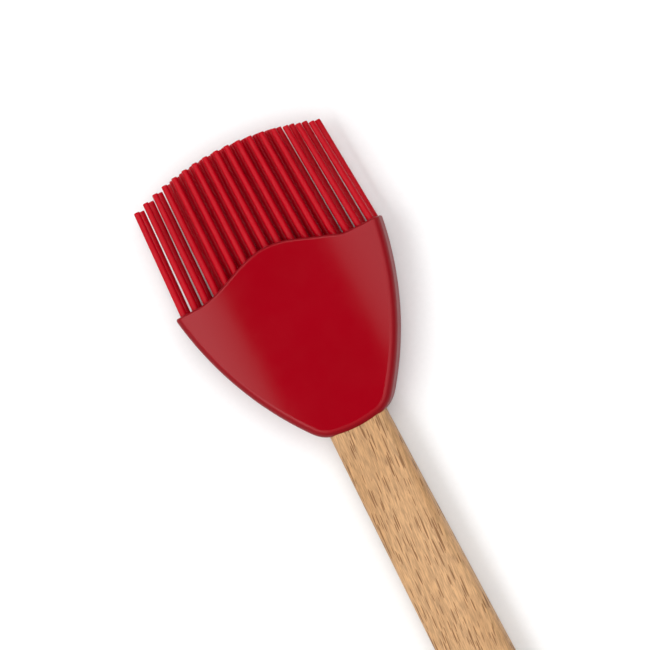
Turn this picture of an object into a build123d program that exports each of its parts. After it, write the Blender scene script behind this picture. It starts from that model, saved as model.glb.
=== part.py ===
from build123d import *

import os
from math import atan, cos, degrees, pi, radians, sin, sqrt

# Silicone pastry brush on a flat beech handle, lying on its back. Millimetres.
# X is the width, +Y points to the bristle tips and +Z is up, through the thickness.
# The origin is under the middle of the brush's length, on the surface that it lies on.

# Overall sizes
overall_length = 262.0
head_width = 55.0
head_thickness = 13.4
middle_z = head_thickness / 2
tips_y = overall_length / 2
end_y = -overall_length / 2

# Sleeve: a flat shield whose faces curve back towards the sides; the upper one drops to the neck
mouth_y = tips_y - 31.5  # level of the mouth's corners
lip_rise = 5.6  # height of the wave in the middle of each lip
wave_half_width = 21.5
sleeve_length = 42.8  # from the mouth's corners to the neck
neck_y = mouth_y - sleeve_length
side_radius = 82.0  # each side of the shield is one arc
side_centre_y = mouth_y + 11.5
face_flat_half = 8.0
face_radius = 113.0
upper_slope = radians(2.2)  # drop of the upper face towards the neck
rim_rounding = 2.0
neck_bulge = 1.5  # how far the bottom edge bows out
neck_corner = 8.0
face_wall = 1.1
side_wall = 0.85
cavity_rounding = rim_rounding - face_wall
lip_outer_rounding = 0.6
thickest_y = mouth_y + lip_rise - lip_outer_rounding
lip_inner_rounding = 0.2
collar_length = 5.0

# Bristles: tapering stems in three rows, which lean together towards the tips
bristle_root_radius = 0.92
bristle_tip_radius = 0.76
tip_rounding = 0.4
mouth_pitch = 3.16
tip_pitch = 2.92
tip_arc_radius = 76.0
row_spacing = 2.6
outer_row_count = 17
middle_row_count = 10
bend_y = mouth_y + lip_rise + 1.2  # the line about which a row bends
bend_gap = 0.15

# Combs: one root strip for each row, standing on the core
comb_top_y = mouth_y - 1.0
comb_depth = 10.0

# Core and tenon
core_top_y = comb_top_y - comb_depth
core_bottom_y = neck_y + collar_length
tenon_width = 11.0
tenon_thickness = 6.0
tenon_length = 24.0
tenon_chamfer = 0.8
fit = 0.1  # clearance of the handle in the head, and of the pieces packed into the sleeve

# Handle
neck_width = 15.0
end_width = 21.0
handle_thickness = 8.0
handle_edge_rounding = 2.6
end_corner = 9.0
hang_hole_radius = 2.75
hang_hole_y = end_y + 12.0
hang_hole_chamfer = 0.5


def across(y):
    """Plane square to the brush at y, facing the tips, on the brush's middle line."""
    return Plane(origin=(0, y, middle_z), x_dir=(1, 0, 0), z_dir=(0, 1, 0))


def side_x(y, inset=0.0):
    """Half width of the sleeve at y, or of what lies inset from its sides."""
    half_width = head_width / 2
    centre_x = half_width - sqrt(side_radius**2 - (mouth_y - side_centre_y) ** 2)
    return centre_x + sqrt((side_radius - inset) ** 2 - (y - side_centre_y) ** 2)


def face_height(x, inset=0.0):
    """Height of the sleeve's face over its middle plane at x, or of what lies inset from it."""
    past_flat = max(abs(x) - face_flat_half, 0)
    return head_thickness / 2 - face_radius + sqrt((face_radius - inset) ** 2 - past_flat**2)


def face_bar(slope, inset=0.0):
    """Long bar under a face of the head, which is flat in the middle and drops to the neck at a slope."""
    outer_x = head_width / 2 + 3
    middle_x = (face_flat_half + outer_x) / 2
    along_face = (0, -cos(slope), -sin(slope))
    square_to_face = Plane(origin=(0, thickest_y, middle_z), x_dir=(1, 0, 0), z_dir=along_face)
    with BuildPart() as bar:
        with BuildSketch(square_to_face):
            with BuildLine():
                flat = Line((0, face_height(0, inset)), (face_flat_half, face_height(0, inset)))
                curve = ThreePointArc(
                    flat @ 1,
                    (middle_x, face_height(middle_x, inset)),
                    (outer_x, face_height(outer_x, inset)),
                )
                Polyline(curve @ 1, (outer_x, -head_thickness), (0, -head_thickness))
                mirror(about=Plane.YZ)
            make_face()
        extrude(amount=overall_length / 2, both=True)
    return bar.part


def lens(inset=0.0):
    """Long bar between the head's two faces: the upper one drops to the neck, the lower one is level."""
    upper = face_bar(upper_slope, inset)
    lower = face_bar(0, inset).mirror(Plane.XY.offset(middle_z))
    with BuildPart() as bar:
        add(upper)
        add(lower, mode=Mode.INTERSECT)
    return bar.part


def rim_edges(solid, bottom_y, top_y):
    """Edges between the side walls and the two faces that lie between two levels."""
    walls = solid.faces().filter_by(lambda face: abs(face.normal_at().Z) < 0.01)
    edges = walls.edges().filter_by(lambda edge: abs(edge.tangent_at(0.5).Z) < 0.5)
    return edges.filter_by(lambda edge: bottom_y + 0.01 < edge.center().Y < top_y - 0.01)


def cavity_slice(bottom_y, top_y, gap=0.0):
    """Slice of the sleeve's cavity between two levels, smaller by a gap on every side."""
    inset = side_wall + gap
    bar = lens(face_wall + gap)
    middle_y = (bottom_y + top_y) / 2
    with BuildPart() as piece:
        with BuildSketch(Plane.XY.offset(middle_z)):
            with BuildLine():
                side = ThreePointArc(
                    (side_x(bottom_y, inset), bottom_y),
                    (side_x(middle_y, inset), middle_y),
                    (side_x(top_y, inset), top_y),
                )
                Line((0, bottom_y), side @ 0)
                Line(side @ 1, (0, top_y))
                mirror(about=Plane.YZ)
            make_face()
        extrude(amount=head_thickness, both=True)
        add(bar, mode=Mode.INTERSECT)
        fillet(rim_edges(piece, bottom_y, top_y), cavity_rounding - gap)
    return piece.part


# ---- Sleeve ----
outer_lens = lens()
blank_top_y = mouth_y + 2 * lip_rise
cavity = cavity_slice(core_bottom_y, blank_top_y)
neck_corner_y = neck_y + neck_bulge
blank_middle_y = (blank_top_y + neck_corner_y) / 2

with BuildPart() as head_sleeve:
    with BuildSketch(Plane.XY.offset(middle_z)) as shield:
        with BuildLine():
            shield_side = ThreePointArc(
                (side_x(blank_top_y), blank_top_y),
                (side_x(blank_middle_y), blank_middle_y),
                (side_x(neck_corner_y), neck_corner_y),
            )
            Line((0, blank_top_y), shield_side @ 0)
            mirror(about=Plane.YZ)
            ThreePointArc(
                shield_side @ 1,
                (0, neck_y),
                (-side_x(neck_corner_y), neck_corner_y),
            )
        make_face()
        fillet(shield.vertices().group_by(Axis.Y)[0], neck_corner)
    extrude(amount=head_thickness, both=True)
    add(outer_lens, mode=Mode.INTERSECT)
    fillet(rim_edges(head_sleeve, end_y, blank_top_y), rim_rounding)

    # the waved mouth is cut through both lips
    with BuildSketch(Plane.XY.offset(middle_z)):
        with BuildLine():
            wave_steps = [wave_half_width * step / 4 for step in range(-4, 5)]
            wave = Spline(
                [(x, mouth_y + lip_rise * cos(pi * x / (2 * wave_half_width)) ** 2) for x in wave_steps],
                tangents=[(1, 0), (1, 0)],
            )
            Polyline(
                wave @ 1,
                (head_width, mouth_y),
                (head_width, 2 * mouth_y),
                (-head_width, 2 * mouth_y),
                (-head_width, mouth_y),
                wave @ 0,
            )
        make_face()
    extrude(amount=head_thickness, both=True, mode=Mode.SUBTRACT)

    mouth = head_sleeve.faces().filter_by(lambda face: face.normal_at().Y > 0.5)
    lip_edges = mouth.edges().filter_by(lambda edge: sum(edge in face.edges() for face in mouth) == 1)
    fillet(lip_edges, lip_outer_rounding)

    # cavity for the core and the combs
    add(cavity, mode=Mode.SUBTRACT)
    cavity_edges = head_sleeve.edges(Select.LAST)
    fillet(cavity_edges.filter_by(lambda edge: edge.center().Y > mouth_y - 1), lip_inner_rounding)

    # neck that grips the handle
    with BuildSketch(across(core_bottom_y)):
        RectangleRounded(
            neck_width + 2 * fit, handle_thickness + 2 * fit, handle_edge_rounding + fit
        )
    extrude(amount=-2 * collar_length, mode=Mode.SUBTRACT)
head_sleeve.part.label = "head_sleeve"

# ---- Core ----
core_blank = cavity_slice(core_bottom_y, core_top_y, fit)
with BuildPart() as head_core:
    add(core_blank)
    with BuildSketch(across(core_bottom_y)):
        Rectangle(tenon_width + 2 * fit, tenon_thickness + 2 * fit)
    extrude(amount=tenon_length + fit, mode=Mode.SUBTRACT)
head_core.part.label = "head_core"

# ---- Handle ----
shoulder_y = core_bottom_y - fit
taper = (end_width - neck_width) / 2 / (neck_y - end_y)
shoulder_half = neck_width / 2 - taper * collar_length
with BuildPart() as handle:
    with BuildSketch(Plane.XY.offset(middle_z)) as paddle:
        with BuildLine():
            Polyline((0, shoulder_y), (shoulder_half, shoulder_y), (end_width / 2, end_y), (0, end_y))
            mirror(about=Plane.YZ)
        make_face()
        fillet(paddle.vertices().group_by(Axis.Y)[0], end_corner)
    extrude(amount=handle_thickness / 2, both=True)
    fillet(rim_edges(handle, end_y - 1, shoulder_y), handle_edge_rounding)
    with BuildSketch(across(shoulder_y)):
        Rectangle(tenon_width, tenon_thickness)
    extrude(amount=tenon_length - fit)
    chamfer(handle.faces().sort_by(Axis.Y)[-1].edges(), tenon_chamfer)
    with Locations((0, hang_hole_y, middle_z + handle_thickness / 2)):
        Hole(hang_hole_radius)
    circles = handle.edges().filter_by(GeomType.CIRCLE)
    hole_rims = circles.filter_by(lambda circle: abs(circle.radius - hang_hole_radius) < 0.01)
    chamfer(hole_rims, hang_hole_chamfer)
handle.part.label = "handle"


# ---- Bristles and combs ----
def row_places(count):
    """Where the bristles of a row cross the mouth's level, evenly spaced about the middle."""
    return [(index - (count - 1) / 2) * mouth_pitch for index in range(count)]


def lean(x):
    """How far a bristle at x leans towards the middle, as a slope."""
    bristle_height = tips_y - mouth_y
    return x * (1 - tip_pitch / mouth_pitch) / bristle_height


def bend_place(x, row_z):
    """Location of a bristle's bend point, with its local Y along the bristle."""
    bend_x = x - lean(x) * (bend_y - mouth_y)
    return Location((bend_x, bend_y, middle_z + row_z), (0, 0, degrees(atan(lean(x)))))


def free_bristle(x):
    """Bristle that ends at the arc of the tips: ball at the bend, tapering stem, rounded tip."""
    tip_level = tips_y - tip_arc_radius + sqrt(tip_arc_radius**2 - x**2)
    length = tip_level - bend_y
    with BuildPart() as stem:
        with BuildSketch():
            with BuildLine():
                ball = RadiusArc((0, -bristle_root_radius), (bristle_root_radius, 0), -bristle_root_radius)
                side = Line(ball @ 1, (bristle_tip_radius, length - tip_rounding))
                tip = RadiusArc(side @ 1, (bristle_tip_radius - tip_rounding, length), -tip_rounding)
                Polyline(tip @ 1, (0, length), ball @ 0)
            make_face()
        revolve(axis=Axis.Y)
    return stem.part


def bristle_root(x):
    """Fixed foot of a bristle, from inside its comb up to just under the bend."""
    with BuildPart() as stem:
        with BuildSketch(Plane.XZ.offset(bristle_root_radius + bend_gap)):
            Circle(bristle_root_radius)
        extrude(amount=bend_y - comb_top_y)
    return stem.part


def build_comb(count, row_z, bottom_z, top_z):
    """Root strip of a row with the fixed feet of its bristles."""
    strip = cavity_slice(core_top_y, comb_top_y, fit)
    roots = [bristle_root(x).moved(bend_place(x, row_z)) for x in row_places(count)]
    with BuildPart() as comb:
        with BuildSketch(Plane.XY.offset(middle_z + bottom_z)):
            with Locations((0, comb_top_y)):
                Rectangle(head_width, 4 * comb_depth)
        extrude(amount=top_z - bottom_z)
        add(strip, mode=Mode.INTERSECT)
        add(roots)
    return comb.part


def build_bristles(count, row_z):
    """The free bristles of a row, as separate solids that bend together."""
    stems = [free_bristle(x).moved(bend_place(x, row_z)) for x in row_places(count)]
    with BuildPart() as row:
        add(stems)
    return row.part


os.makedirs("parts", exist_ok=True)
strip_edge = row_spacing / 2
rows = [
    ("front", outer_row_count, row_spacing, strip_edge, head_thickness / 2),
    ("middle", middle_row_count, 0, -strip_edge, strip_edge),
    ("back", outer_row_count, -row_spacing, -head_thickness / 2, -strip_edge),
]
pieces = [head_sleeve.part, head_core.part, handle.part]
for name, count, row_z, bottom_z, top_z in rows:
    comb = build_comb(count, row_z, bottom_z, top_z)
    comb.label = name + "_comb"
    bristles = build_bristles(count, row_z)
    bristles.label = name + "_bristles"
    pieces += [comb, bristles]

for piece in pieces:
    export_step(piece, "parts/" + piece.label + ".step")
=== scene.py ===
"""Looks of the pastry brush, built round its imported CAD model. Metres, in the CAD model's frame:
+Y points to the bristle tips, +X across the brush and +Z up through its thickness."""

import math
import random

import bmesh
import bpy
from mathutils import Matrix, Vector


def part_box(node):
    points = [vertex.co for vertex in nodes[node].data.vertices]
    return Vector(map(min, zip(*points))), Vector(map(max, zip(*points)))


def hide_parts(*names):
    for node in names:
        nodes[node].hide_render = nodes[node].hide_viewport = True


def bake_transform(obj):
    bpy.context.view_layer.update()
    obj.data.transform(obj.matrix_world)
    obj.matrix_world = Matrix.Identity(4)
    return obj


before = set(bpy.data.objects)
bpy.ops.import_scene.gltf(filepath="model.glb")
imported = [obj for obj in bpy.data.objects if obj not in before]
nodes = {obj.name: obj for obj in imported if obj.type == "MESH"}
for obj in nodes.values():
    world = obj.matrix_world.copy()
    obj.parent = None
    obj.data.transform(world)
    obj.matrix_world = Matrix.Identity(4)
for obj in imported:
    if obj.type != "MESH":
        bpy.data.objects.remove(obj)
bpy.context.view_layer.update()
MM = 0.001
RIGHT, TOP = Vector((1, 0, 0)), Vector((0, 0, 1))

# Places taken from the CAD model
sleeve_low, sleeve_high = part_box("head_sleeve")
handle_low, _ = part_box("handle")


# ---- Node trees ----
class Nodes:
    """Builds a node tree, a node at a time."""

    def __init__(self, tree):
        self.tree = tree

    def node(self, kind, inputs=(), **settings):
        """A new node. Each input is a socket of another node, or a value."""
        made = self.tree.nodes.new(kind)
        for name, value in settings.items():
            setattr(made, name, value)
        for socket, value in dict(inputs).items():
            self.feed(made, socket, value)
        return made

    def feed(self, node, socket, value):
        """Link an output, or set a value, on a socket of a node."""
        target = node.inputs[socket]
        if isinstance(value, bpy.types.NodeSocket):
            self.tree.links.new(value, target)
        else:
            target.default_value = value

    def math(self, operation, first, second=0.0):
        return self.node("ShaderNodeMath", {0: first, 1: second}, operation=operation).outputs[0]

    def vector_math(self, operation, first, inputs, output="Vector"):
        """A vector operation on the first vector. The other inputs are given by socket."""
        node = self.node("ShaderNodeVectorMath", {0: first, **inputs}, operation=operation)
        return node.outputs[output]

    def ramp(self, value, low, high, to_low=0.0, to_high=1.0):
        """Smooth step from to_low, where the value is low, to to_high, where it is high."""
        ends = {"From Min": low, "From Max": high, "To Min": to_low, "To Max": to_high}
        node = self.node(
            "ShaderNodeMapRange", {"Value": value, **ends}, interpolation_type="SMOOTHSTEP"
        )
        return node.outputs["Result"]


class Shading(Nodes):
    """A node material round one Principled shader, placed by the object's own coordinates."""

    def __init__(self, name, **constants):
        self.material = bpy.data.materials.new(name)
        self.material.use_nodes = True
        super().__init__(self.material.node_tree)
        self.shader = self.tree.nodes["Principled BSDF"]
        for socket, value in constants.items():
            self.shader.inputs[socket].default_value = value
        self.place = self.node("ShaderNodeTexCoord").outputs["Object"]

    def finish(self, colour, roughness, normal=None):
        """Feed the shader, and return the material."""
        self.feed(self.shader, "Base Color", colour)
        self.feed(self.shader, "Roughness", roughness)
        if normal:
            self.feed(self.shader, "Normal", normal)
        return self.material

    def stretched(self, cell, turn=0.0):
        """The place in the object in cells of this size, turned about Z."""
        inputs = {"Vector": self.place, "Rotation": (0, 0, turn), "Scale": cell}
        return self.node("ShaderNodeMapping", inputs, vector_type="TEXTURE").outputs["Vector"]

    def noise(self, scale=1.0, detail=2.0, roughness=0.5, place=None, output="Fac"):
        inputs = {
            "Vector": place or self.place, "Scale": scale, "Detail": detail, "Roughness": roughness
        }
        return self.node("ShaderNodeTexNoise", inputs).outputs[output]

    def blend(self, factor, first, second, kind="MIX"):
        """Mix two colours."""
        inputs = {0: factor, 6: first, 7: second}
        return self.node("ShaderNodeMix", inputs, data_type="RGBA", blend_type=kind).outputs[2]

    def bump(self, height, distance, strength, under=None):
        """The normal of a relief of this height, laid over the normal of a coarser one."""
        inputs = {"Height": height, "Distance": distance, "Strength": strength}
        if under:
            inputs["Normal"] = under
        return self.node("ShaderNodeBump", inputs).outputs["Normal"]


# ---- Camera, floor and light ----
VIEW_WIDTH = 154.03 * MM  # the square image shows this much at the sleeve's upper face
BRUSH_TURN = math.radians(27.4)  # the brush leans this far to the left of upright
VIEW_TILT = math.radians(7.5)  # the camera stands this far over the brush's right side
CAMERA_DISTANCE = 0.8
SENSOR_WIDTH = 36.0
LOOK_RIGHT = 4.5 * MM  # the view's centre lies this far to the right of the brush's middle
LOOK_BELOW = 23.0 * MM  # and this far from the tip of the sleeve's wave towards the handle

look_at = Vector((LOOK_RIGHT, sleeve_high.y - LOOK_BELOW, sleeve_high.z))
to_camera = Vector((math.sin(VIEW_TILT), 0, math.cos(VIEW_TILT)))
image_up = Vector((math.sin(BRUSH_TURN), math.cos(BRUSH_TURN), 0))
image_right = Vector((math.cos(BRUSH_TURN), -math.sin(BRUSH_TURN), 0))

FLOOR_HALF = 3.0
NECK_CONTACT = 2 * MM  # the sleeve rests on the floor this far from its neck
END_CONTACT = 3 * MM  # and the handle this far from its far end
PAPER_TONES = (0.86, 0.86, 0.86, 1), (0.9, 0.9, 0.9, 1)

FACE_SLOPE = math.radians(2.2)  # the sleeve's upper face drops this much towards the neck
KEY = Vector((0, 0, 0.55)) - image_right + image_up * 0.2  # low, from the image's left
KEY_FROM, KEY_FULL = -0.4, 1.0  # cosines of the angle from the key where it begins and is full
TENT_DIM, TENT_BRIGHT = 1.5, 3.85  # the tent's strength at these two angles
TOP_FULL = math.radians(32)  # the bright top reaches this far from straight up
TOP_ENDS = math.radians(58)  # and has faded into the walls here
WALL_SHARE = 0.14  # how bright the walls are beside the top
END_SHARE = 0.28  # how bright the tent is over the brush's ends beside its flanks
END_HALF, FLANK_FROM = 0.05, 0.3  # how far sideways the ends reach, and the flanks are full
HOLE_FULL = math.radians(4)  # the hole is fully dark this far from its middle
HOLE_ENDS = math.radians(9.5)  # and ends here
HOLE_SHIFT = 0.025  # it lies a little further towards the handle than the mirrored camera


def make_camera():
    """Camera that looks down on the brush's broad face."""
    data = bpy.data.cameras.new("camera")
    data.sensor_width = SENSOR_WIDTH
    data.lens = SENSOR_WIDTH * CAMERA_DISTANCE / VIEW_WIDTH
    camera = bpy.data.objects.new("camera", data)
    bpy.context.scene.collection.objects.link(camera)
    right = image_up.cross(to_camera).normalized()
    up = to_camera.cross(right)
    turned = Matrix((right, up, to_camera)).transposed()
    camera.matrix_world = Matrix.LocRotScale(look_at + to_camera * CAMERA_DISTANCE, turned, None)
    bpy.context.scene.camera = camera


def make_floor():
    """Pale floor under the brush, which rests on it near the sleeve's neck and the handle's end."""
    contact_y = sleeve_low.y + NECK_CONTACT
    slope = (handle_low.z - sleeve_low.z) / (handle_low.y + END_CONTACT - contact_y)
    corners = []
    for side_x, side_y in ((-1, -1), (1, -1), (1, 1), (-1, 1)):
        y = side_y * FLOOR_HALF
        corners.append((side_x * FLOOR_HALF, y, slope * (y - contact_y) + sleeve_low.z))
    mesh = bpy.data.meshes.new("floor")
    mesh.from_pydata(corners, [], [(0, 1, 2, 3)])
    floor = bpy.data.objects.new("floor", mesh)
    bpy.context.scene.collection.objects.link(floor)
    paper = Shading("floor_paper", **{"Specular IOR Level": 0.0})
    tone = paper.blend(paper.noise(scale=900, detail=3), *PAPER_TONES)
    floor.data.materials.append(paper.finish(tone, roughness=0.9))


def make_light():
    """White light tent, brightest at the upper left, dark where the sleeve's face mirrors it."""
    world = bpy.data.worlds.new("tent")
    bpy.context.scene.world = world
    world.use_nodes = True
    tent = Nodes(world.node_tree)
    direction = tent.node("ShaderNodeTexCoord").outputs["Generated"]

    def along(axis):
        """Cosine of the angle between the direction and an axis."""
        return tent.vector_math("DOT_PRODUCT", direction, {1: axis.normalized()}, "Value")

    face = Vector((0, -math.sin(FACE_SLOPE), math.cos(FACE_SLOPE)))
    mirrored = 2 * to_camera.dot(face) * face - to_camera - Vector((0, HOLE_SHIFT, 0))
    off_middle = tent.math("ABSOLUTE", tent.math("SUBTRACT", along(RIGHT), mirrored.x))
    strength = tent.ramp(along(KEY), KEY_FROM, KEY_FULL, TENT_DIM, TENT_BRIGHT)
    for share in (
        tent.ramp(along(TOP), math.cos(TOP_ENDS), math.cos(TOP_FULL), WALL_SHARE, 1.0),
        tent.ramp(off_middle, END_HALF, FLANK_FROM, END_SHARE, 1.0),
        tent.ramp(along(mirrored), math.cos(HOLE_ENDS), math.cos(HOLE_FULL), 1.0, 0.0),
    ):
        strength = tent.math("MULTIPLY", strength, share)
    background = tent.tree.nodes["Background"]
    tent.feed(background, "Color", (1, 1, 1, 1))
    tent.feed(background, "Strength", strength)
    bpy.context.scene.view_settings.view_transform = "Standard"


# ---- Materials ----
NOISE_SPAN = 0.3, 0.7  # the range that most of a noise lies in
PATCH_SPAN = 0.35, 0.65
SLEEVE_REDS = (0.276, 0.0006, 0.0052, 1), (0.306, 0.0010, 0.0076, 1)
# Painted shade: the rims are mixed towards this darker red where their surface turns from level
RIM_SHADE_RED = (0.15, 0.0003, 0.004, 1)
RIM_STARTS, RIM_FULL = 0.982, 0.86  # how level the surface is where a rim begins and is full
RIM_SHADE_BLEND = 0.4
RIM_ROUGHER = 0.3
BRISTLE_REDS = (0.41, 0.0005, 0.0070, 1), (0.465, 0.0009, 0.0100, 1)

WOOD_TONES = (0.475, 0.262, 0.116, 1), (0.595, 0.355, 0.178, 1)
WOOD_DULLER = (0.9, 0.87, 0.82, 1)  # multiplies the tone in broad patches
GRAIN_TURN = math.radians(-4.5)  # the grain runs slightly across the handle
GRAIN_WAVE = 1.6 * MM  # how far the grain wanders
FIBRE_CELL = (0.34 * MM, 3.6 * MM, 0.5 * MM)
STREAK_CELL = (3.2 * MM, 60 * MM, 4 * MM)
PATCH_CELL = (9 * MM, 34 * MM, 9 * MM)
FLECK_BROWN = (0.20, 0.085, 0.028, 1)
FLECK_BLEND = 0.82
FLECK_DEPTH = 0.8  # how far a fleck sinks into the relief of the fibres
FLECK_REACH = 0.36  # the largest fleck's radius, in cells
FLECK_EDGE = 0.045  # the width of its soft edge
# Size of a cell, share of the cells that hold a fleck, and seed
FLECKS = (
    ((0.64 * MM, 9.5 * MM, 2.4 * MM), 0.80, 0.0),
    ((0.54 * MM, 6.5 * MM, 2.0 * MM), 0.80, 3.3),
    ((0.48 * MM, 5.0 * MM, 1.8 * MM), 0.80, 5.1),
    ((0.80 * MM, 13.0 * MM, 2.8 * MM), 0.60, 7.7),
)

DRAW_CELL = (0.25 * MM, 6 * MM, 0.25 * MM)  # the fine lines along a bristle
NYLON_TONES = (0.62, 0.6, 0.55, 1), (0.72, 0.7, 0.65, 1)


def sleeve_silicone():
    """Satin moulded silicone: deep red, faintly cloudy, with a fine matt texture and rougher rims,
    and painted shade that darkens the rims where the surface turns from level.
    """
    look = Shading("sleeve_silicone", **{"Specular IOR Level": 0.225, "IOR": 1.42})
    normal = look.node("ShaderNodeNewGeometry").outputs["Normal"]
    level = look.math("ABSOLUTE", look.node("ShaderNodeSeparateXYZ", {0: normal}).outputs["Z"])
    # Rim mask: it darkens the colour there as painted shade, and makes the surface rougher
    rim = look.ramp(level, RIM_STARTS, RIM_FULL)
    clouds = look.noise(scale=55, detail=3)
    colour = look.blend(clouds, *SLEEVE_REDS)
    smudges = look.noise(scale=130, detail=4, roughness=0.6)
    satin = look.ramp(smudges, *NOISE_SPAN, 0.10, 0.14)
    grain = look.noise(scale=2600)
    ripple = look.bump(clouds, 0.4 * MM, 0.06)
    return look.finish(
        look.blend(look.math("MULTIPLY", rim, RIM_SHADE_BLEND), colour, RIM_SHADE_RED),
        look.math("ADD", satin, look.math("MULTIPLY", rim, RIM_ROUGHER)),
        look.bump(grain, 0.002 * MM, 0.5, under=ripple),
    )


def bristle_silicone():
    """Brighter silicone of the bristles, with fine draw lines along them."""
    look = Shading("bristle_silicone", **{"Specular IOR Level": 0.14, "IOR": 1.42})
    lines = look.noise(detail=3, place=look.stretched(DRAW_CELL))
    return look.finish(
        look.blend(look.noise(scale=240), *BRISTLE_REDS),
        look.ramp(lines, *NOISE_SPAN, 0.13, 0.2),
        look.bump(lines, 0.008 * MM, 0.35),
    )


def flecks(look, cell, share, seed):
    """Short rays along the grain: 1 on a fleck, 0 between them."""
    place = look.vector_math("ADD", look.stretched(cell, GRAIN_TURN), {1: (seed, seed, seed)})
    cells = look.node("ShaderNodeTexVoronoi", {"Vector": place, "Scale": 1.0, "Randomness": 1.0})
    chance = look.node("ShaderNodeSeparateColor", {0: cells.outputs["Color"]}).outputs[0]
    reach = look.ramp(chance, 1 - share, 1.0, 0.0, FLECK_REACH)
    return look.ramp(look.math("SUBTRACT", reach, cells.outputs["Distance"]), 0.0, FLECK_EDGE)


def beech():
    """Oiled beech: warm ground, faint long streaks and short dark flecks along the grain."""
    look = Shading("beech", **{"Specular IOR Level": 0.3})
    waves = look.noise(scale=28, output="Color")
    bend = look.vector_math("SCALE", waves, {"Scale": GRAIN_WAVE})
    look.place = look.vector_math("ADD", look.place, {1: bend})

    fibres = look.noise(detail=4, roughness=0.6, place=look.stretched(FIBRE_CELL, GRAIN_TURN))
    streaks = look.noise(place=look.stretched(STREAK_CELL, GRAIN_TURN))
    patches = look.noise(detail=1, place=look.stretched(PATCH_CELL, GRAIN_TURN))
    colour = look.blend(streaks, *WOOD_TONES)
    duller = look.blend(1.0, colour, WOOD_DULLER, "MULTIPLY")
    colour = look.blend(look.ramp(patches, *PATCH_SPAN), colour, duller)
    colour = look.blend(1.0, colour, look.ramp(fibres, *NOISE_SPAN, 0.72, 1.22), "MULTIPLY")
    height = look.ramp(fibres, *NOISE_SPAN)
    for cell, share, seed in FLECKS:
        fleck = flecks(look, cell, share, seed)
        colour = look.blend(look.math("MULTIPLY", fleck, FLECK_BLEND), colour, FLECK_BROWN)
        height = look.math("SUBTRACT", height, look.math("MULTIPLY", fleck, FLECK_DEPTH))
    roughness = look.ramp(fibres, *NOISE_SPAN, 0.5, 0.62)
    return look.finish(colour, roughness, look.bump(height, 0.03 * MM, 0.5))


def core_nylon():
    """Natural nylon of the insert, with a faint flow pattern."""
    look = Shading("core_nylon", **{"Specular IOR Level": 0.45})
    flow = look.noise(scale=160, detail=3)
    return look.finish(
        look.blend(flow, *NYLON_TONES),
        look.ramp(flow, *NOISE_SPAN, 0.4, 0.5),
        look.bump(flow, 0.03 * MM, 0.4),
    )


def repaint(node, material):
    """Give a CAD node its procedural material."""
    data = nodes[node].data
    data.materials.clear()
    data.materials.append(material)


# ---- Bristle combs ----
BRISTLE_SIDES = 28
BRISTLE_RINGS = 36
ROOT_RADIUS = 0.90 * MM
TIP_RADIUS = 0.75 * MM
TIP_ROUNDING = 0.28 * MM
TIP_RINGS = 5
ROOT_DEPTH = 0.4 * MM  # how far a bristle reaches into its comb
TIP_LEAN = -0.5 * MM  # all the tips lean this far across
# How far to the right of the front row the back row stands, at its left and right ends
ROOT_SHIFT = (0.0, 0.55 * MM)
TIP_SHIFT = (0.35 * MM, 0.95 * MM)
WANDER = 0.10 * MM  # how far a bristle's tip strays from its place

WELD = 0.001 * MM  # CAD vertices closer than this are one
END_DEPTH = 0.1 * MM  # CAD vertices this near to a bristle's end belong to it
STEP_HEIGHT = 0.01 * MM  # what stands higher on a comb's top is the foot of a bristle


def welded(mesh):
    """A CAD mesh as a bmesh, with its double vertices merged."""
    solid = bmesh.new()
    solid.from_mesh(mesh)
    bmesh.ops.remove_doubles(solid, verts=solid.verts, dist=WELD)
    return solid


def islands(mesh):
    """The vertex positions of each separate solid of a CAD node."""
    solid = welded(mesh)
    unseen = set(solid.verts)
    while unseen:
        group, found = set(), [unseen.pop()]
        while found:
            vert = found.pop()
            group.add(vert)
            near = {edge.other_vert(vert) for edge in vert.link_edges} & unseen
            unseen -= near
            found.extend(near)
        yield [vert.co.copy() for vert in group]
    solid.free()


def middle(points):
    """The mean of the points."""
    return sum(points, Vector()) / len(points)


def bristle_lines(node):
    """(foot, tip) of each free bristle of a CAD node, from left to right."""
    lines = []
    for points in islands(nodes[node].data):
        low = min(p.y for p in points)
        high = max(p.y for p in points)
        foot = middle([p for p in points if p.y < low + END_DEPTH])
        tip = middle([p for p in points if p.y > high - END_DEPTH])
        lines.append((foot, tip))
    return sorted(lines, key=lambda line: line[0].x)


def bristle_profile(length):
    """(place along the bristle, radius) of each ring: a slow taper and a rounded tip."""
    straight = length - TIP_ROUNDING
    profile = []
    for index in range(BRISTLE_RINGS + 1):
        y = index / BRISTLE_RINGS * straight
        profile.append((y, ROOT_RADIUS + (TIP_RADIUS - ROOT_RADIUS) * y / length))
    for index in range(1, TIP_RINGS + 1):
        angle = math.pi / 2 * index / TIP_RINGS
        radius = TIP_RADIUS - TIP_ROUNDING * (1 - math.cos(angle))
        profile.append((straight + TIP_ROUNDING * math.sin(angle), radius))
    return profile


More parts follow.
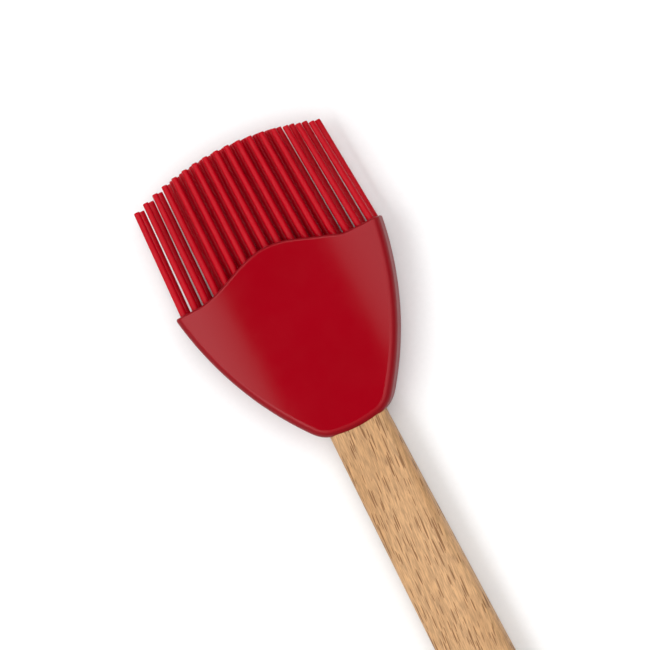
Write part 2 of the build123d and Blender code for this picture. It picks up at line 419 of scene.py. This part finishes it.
def add_bristle(solid, foot, tip, start_y, lean, stray):
    """Adds one closed bristle: it leans from its comb and bows slightly to its strayed tip."""
    slope = (tip - foot) / (tip.y - foot.y)
    start = foot + slope * (start_y - foot.y)
    length = tip.y - start_y
    rings = []
    for y, radius in bristle_profile(length):
        centre = start + slope * y + lean * (y / length) + stray * (y / length) ** 2
        ring = []
        for side in range(BRISTLE_SIDES):
            turn = 2 * math.pi * side / BRISTLE_SIDES
            outward = Vector((math.cos(turn), 0, math.sin(turn)))
            ring.append(solid.verts.new(centre + outward * radius))
        rings.append(ring)
    for lower, upper in zip(rings, rings[1:]):
        for side in range(BRISTLE_SIDES):
            after = (side + 1) % BRISTLE_SIDES
            face = solid.faces.new((lower[side], upper[side], upper[after], lower[after]))
            face.smooth = True
    solid.faces.new(rings[0])
    solid.faces.new(reversed(rings[-1]))


def comb_strip(node):
    """Root strip of a comb, closed where the feet of its bristles stood, and its top level."""
    strip = welded(nodes[node].data)
    top_y = max(strip.verts, key=lambda vert: vert.co.x).co.y
    above = [vert for vert in strip.verts if vert.co.y > top_y + STEP_HEIGHT]
    bmesh.ops.delete(strip, geom=above, context="VERTS")
    open_edges = [edge for edge in strip.edges if edge.is_boundary]
    bmesh.ops.holes_fill(strip, edges=open_edges, sides=0)
    return strip, top_y


def make_row(row, share, material):
    """One comb with its bristles, which take a share of the back row's shift to the right."""
    chance = random.Random(row)
    solid, top_y = comb_strip(row + "_comb")
    for foot, tip in bristle_lines(row + "_bristles"):
        side = (foot.x - sleeve_low.x) / (sleeve_high.x - sleeve_low.x)
        root_shift, tip_shift = (
            Vector((share * (left + (right - left) * side), 0, 0))
            for left, right in (ROOT_SHIFT, TIP_SHIFT)
        )
        stray = Vector((chance.uniform(-WANDER, WANDER), 0, chance.uniform(-WANDER, WANDER)))
        lean = tip_shift - root_shift + Vector((TIP_LEAN, 0, 0))
        add_bristle(solid, foot + root_shift, tip + root_shift, top_y - ROOT_DEPTH, lean, stray)
    bmesh.ops.recalc_face_normals(solid, faces=solid.faces)
    mesh = bpy.data.meshes.new(row + "_brush_row")
    solid.to_mesh(mesh)
    solid.free()
    piece = bpy.data.objects.new(row + "_brush_row", mesh)
    bpy.context.scene.collection.objects.link(piece)
    mesh.materials.append(material)
    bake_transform(piece)
    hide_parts(row + "_comb", row + "_bristles")


make_camera()
make_floor()
make_light()
red = bristle_silicone()
make_row("front", 0.0, red)
make_row("middle", 0.5, red)
make_row("back", 1.0, red)
repaint("head_sleeve", sleeve_silicone())
repaint("handle", beech())
repaint("head_core", core_nylon())
